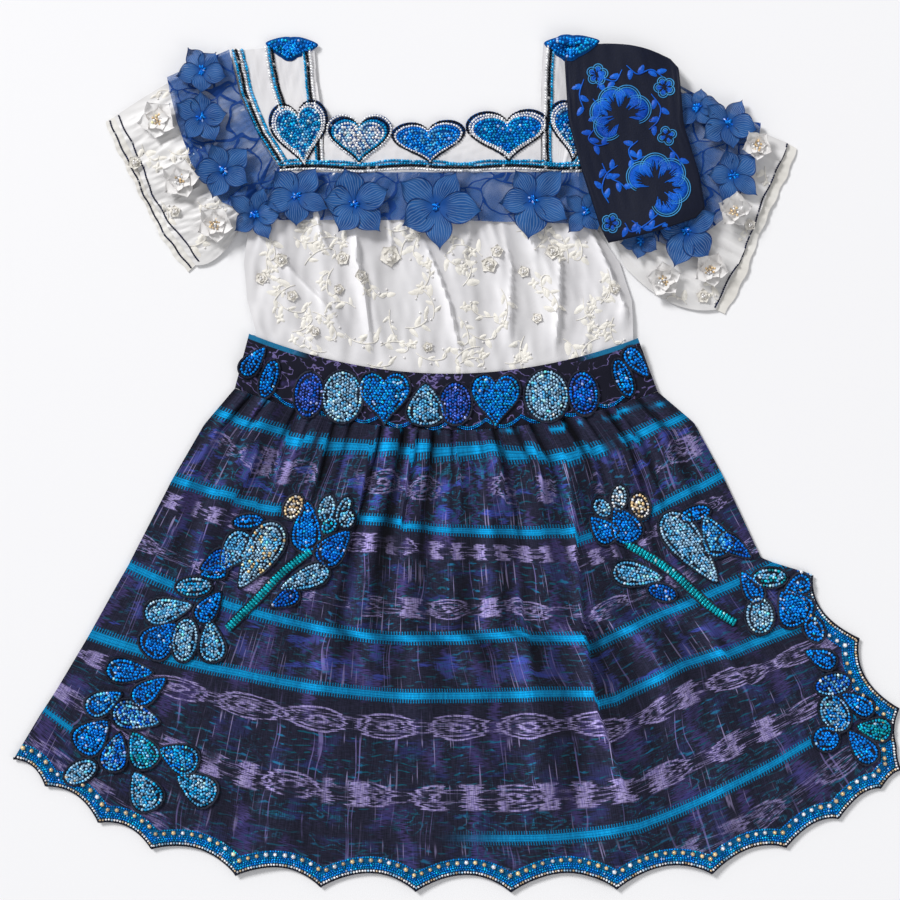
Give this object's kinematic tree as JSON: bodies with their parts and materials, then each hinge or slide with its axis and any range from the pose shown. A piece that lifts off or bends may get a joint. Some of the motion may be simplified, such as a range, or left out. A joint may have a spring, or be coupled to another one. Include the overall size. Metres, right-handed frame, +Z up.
{
  "type": "folk dress",
  "caption": "Guatemalan folk dress laid flat: white blouse with blue organza flounce and beaded neck, dark ikat skirt with beaded sprays and scalloped hem, folded sash",
  "frame": {"origin": "centre of the bounding box's lowest face, on the surface that the dress lies on", "axes": "+X across the dress to its right as seen from above, +Y from the hem up to the neck, +Z up out of the front"},
  "size_m": [0.802, 0.7723, 0.0286],
  "materials": {
    "corte_cotton": "matt ikat cotton",
    "white_satin": "soft satin",
    "white_voile": "fine embroidered voile",
    "blue_organza": "sheer organza",
    "blue_beads": "glossy seed beads on felt",
    "black_satin": "embroidered satin"
  },
  "bodies": {
    "root": {"skirt_front": "corte_cotton", "skirt_back": "corte_cotton", "waistband_front": "corte_cotton", "waistband_back": "corte_cotton", "blouse_front": "white_satin", "blouse_back": "white_satin", "bib_front": "white_satin", "strap_front_left": "white_satin", "strap_front_right": "white_satin", "strap_back_left": "white_satin", "strap_back_right": "white_satin", "sleeve_front_left": "white_voile", "sleeve_front_right": "white_voile", "sleeve_back_left": "white_voile", "sleeve_back_right": "white_voile", "cuff_left": "white_voile", "cuff_right": "white_voile", "lace_blossom_1": "white_voile", "lace_blossom_2": "white_voile", "lace_blossom_3": "white_voile", "lace_blossom_4": "white_voile", "lace_blossom_5": "white_voile", "lace_blossom_6": "white_voile", "lace_blossom_7": "white_voile", "flounce_front": "blue_organza", "flounce_left": "blue_organza", "flounce_right": "blue_organza", "flounce_back": "blue_organza", "flounce_back_left": "blue_organza", "flounce_back_right": "blue_organza", "blossom_1": "blue_organza", "blossom_2": "blue_organza", "blossom_3": "blue_organza", "blossom_4": "blue_organza", "blossom_5": "blue_organza", "blossom_6": "blue_organza", "blossom_7": "blue_organza", "blossom_8": "blue_organza", "blossom_9": "blue_organza", "blossom_10": "blue_organza", "blossom_11": "blue_organza", "blossom_12": "blue_organza", "blossom_13": "blue_organza", "blossom_14": "blue_organza", "neck_hearts": "blue_beads", "neck_trim": "blue_beads", "band_beads_left": "blue_beads", "band_beads_middle": "blue_beads", "band_beads_right": "blue_beads", "left_blossom_spray": "blue_beads", "left_leaf_spray": "blue_beads", "right_blossom_spray": "blue_beads", "right_leaf_spray": "blue_beads", "brooch_left": "blue_beads", "brooch_right": "blue_beads", "sash": "black_satin"}
  },
  "joints": []
}
